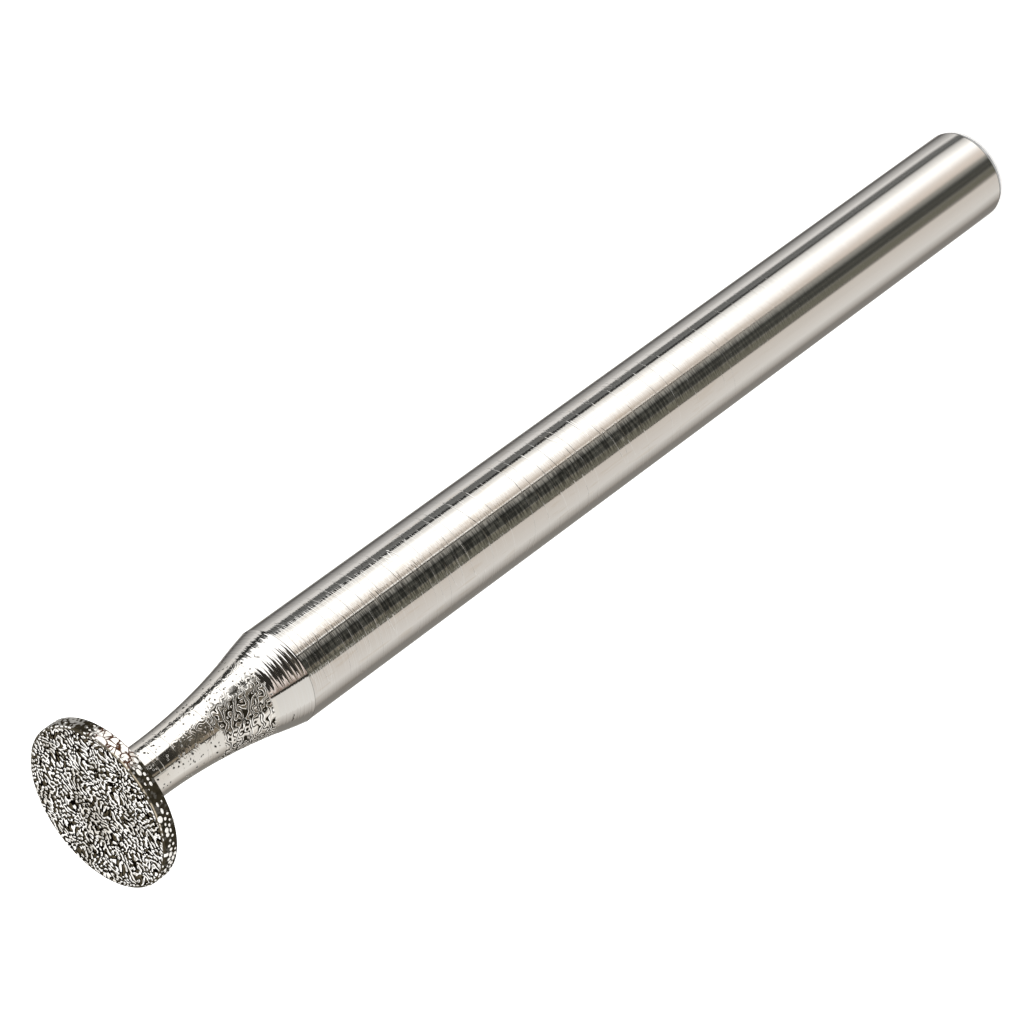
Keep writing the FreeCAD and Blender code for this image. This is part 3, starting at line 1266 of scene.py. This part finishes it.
class BUR_OT_blank(bpy.types.Operator):
    """Builds the turned blank: shank, shoulder, flare and neck"""
    bl_idname = "bur.blank"
    bl_label = "Turned blank"

    def execute(self, context):
        sizes, rings, finish = settings().blank, settings().rings, settings().finish
        mesh = turned_mesh("turned_blank", blank_outline(sizes), sizes.segments)
        made = piece("turned_blank", mesh)
        shoulder_z = sizes.shank_length
        flare_z = shoulder_z + sizes.shoulder_length
        zones = (
            (-MM, shoulder_z, shank_material(finish)),
            (shoulder_z, flare_z, shoulder_material(finish, shoulder_z)),
            (flare_z, FACE_Z, neck_material(finish, flare_z)),
        )
        bake_tree(
            made, blank_tree(zones), start=shoulder_z, end=flare_z,
            pitch=rings.pitch, depth=rings.depth, seed=rings.seed)
        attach(made, BODY)
        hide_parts(NODE)
        return {"FINISHED"}


class BUR_OT_disc(bpy.types.Operator):
    """Builds the plain disc of the head, under its grit"""
    bl_idname = "bur.disc"
    bl_label = "Head disc"

    def execute(self, context):
        sizes, finish = settings().grit, settings().finish
        made = piece("head_disc", disc_mesh("head_disc", disc_outline(sizes), DISC_CELLS))
        made.data.materials.append(rim_material(finish))
        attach(made, BODY)
        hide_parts(NODE)
        return {"FINISHED"}


class BUR_OT_beads(bpy.types.Operator):
    """Builds the plated grains on the rim and the back of the head"""
    bl_idname = "bur.beads"
    bl_label = "Rim beads"

    def execute(self, context):
        sizes, finish = settings().grit, settings().finish
        made = piece("rim_beads", disc_mesh("rim_beads", disc_outline(sizes), DISC_CELLS))
        top = FACE_Z - DISC_INSET
        low = FACE_Z - sizes.head_thickness
        bake_tree(
            made, bead_tree(bead_material(finish)), size=sizes.bead_size, gap=sizes.bead_gap,
            density=sizes.bead_density, seed=sizes.seed,
            middle=(low + top) / 2, reach=(top - low) / 2 - BEAD_MARGIN)
        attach(made, BODY)
        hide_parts(NODE)
        return {"FINISHED"}


class BUR_OT_crust(bpy.types.Operator):
    """Builds the crust of grit on the face of the head"""
    bl_idname = "bur.crust"
    bl_label = "Face crust"

    def execute(self, context):
        sizes, finish = settings().grit, settings().finish
        radius = HEAD_R - DISC_INSET - sizes.edge_round - CRUST_GAP
        mesh = crust_mesh("face_crust", radius, sizes.face_cells)
        note_crust(mesh, sizes.ridge_pitch, sizes.seed)
        made = piece("face_crust", mesh)
        bake_tree(
            made, crust_tree(crust_material(finish)), height=sizes.crust_height,
            radius=radius, top=FACE_Z)
        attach(made, BODY)
        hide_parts(NODE)
        return {"FINISHED"}


class BUR_OT_stage(bpy.types.Operator):
    """Sets the floor, the light and the camera"""
    bl_idname = "bur.stage"
    bl_label = "Studio"

    def execute(self, context):
        studio = settings().studio
        context.scene.world = studio_world()
        context.scene.view_settings.view_transform = "Standard"
        floor(studio)
        camera(studio)
        return {"FINISHED"}


class Bur(bpy.types.PropertyGroup):
    """All settings of the bur."""
    blank: PointerProperty(type=BlankSizes)
    rings: PointerProperty(type=RingSizes)
    grit: PointerProperty(type=GritSizes)
    finish: PointerProperty(type=Finishes)
    studio: PointerProperty(type=StudioSizes)


class BUR_PT_panel(bpy.types.Panel):
    """Lists the bur's operators in the sidebar"""
    bl_idname = "BUR_PT_panel"
    bl_label = "Wheel bur"
    bl_space_type = "VIEW_3D"
    bl_region_type = "UI"
    bl_category = "Bur"

    def draw(self, context):
        for operator in OPERATORS:
            self.layout.operator(operator.bl_idname)


OPERATORS = (BUR_OT_blank, BUR_OT_disc, BUR_OT_beads, BUR_OT_crust, BUR_OT_stage)
CLASSES = (BlankSizes, RingSizes, GritSizes, Finishes, StudioSizes, Bur, *OPERATORS, BUR_PT_panel)


def register():
    for made in CLASSES:
        bpy.utils.register_class(made)
    bpy.types.Scene.bur = PointerProperty(type=Bur)


def unregister():
    del bpy.types.Scene.bur
    for made in reversed(CLASSES):
        bpy.utils.unregister_class(made)


def main():
    register()
    bpy.ops.bur.blank()
    bpy.ops.bur.disc()
    bpy.ops.bur.beads()
    bpy.ops.bur.crust()
    bpy.ops.bur.stage()


if __name__ == "__main__":
    main()
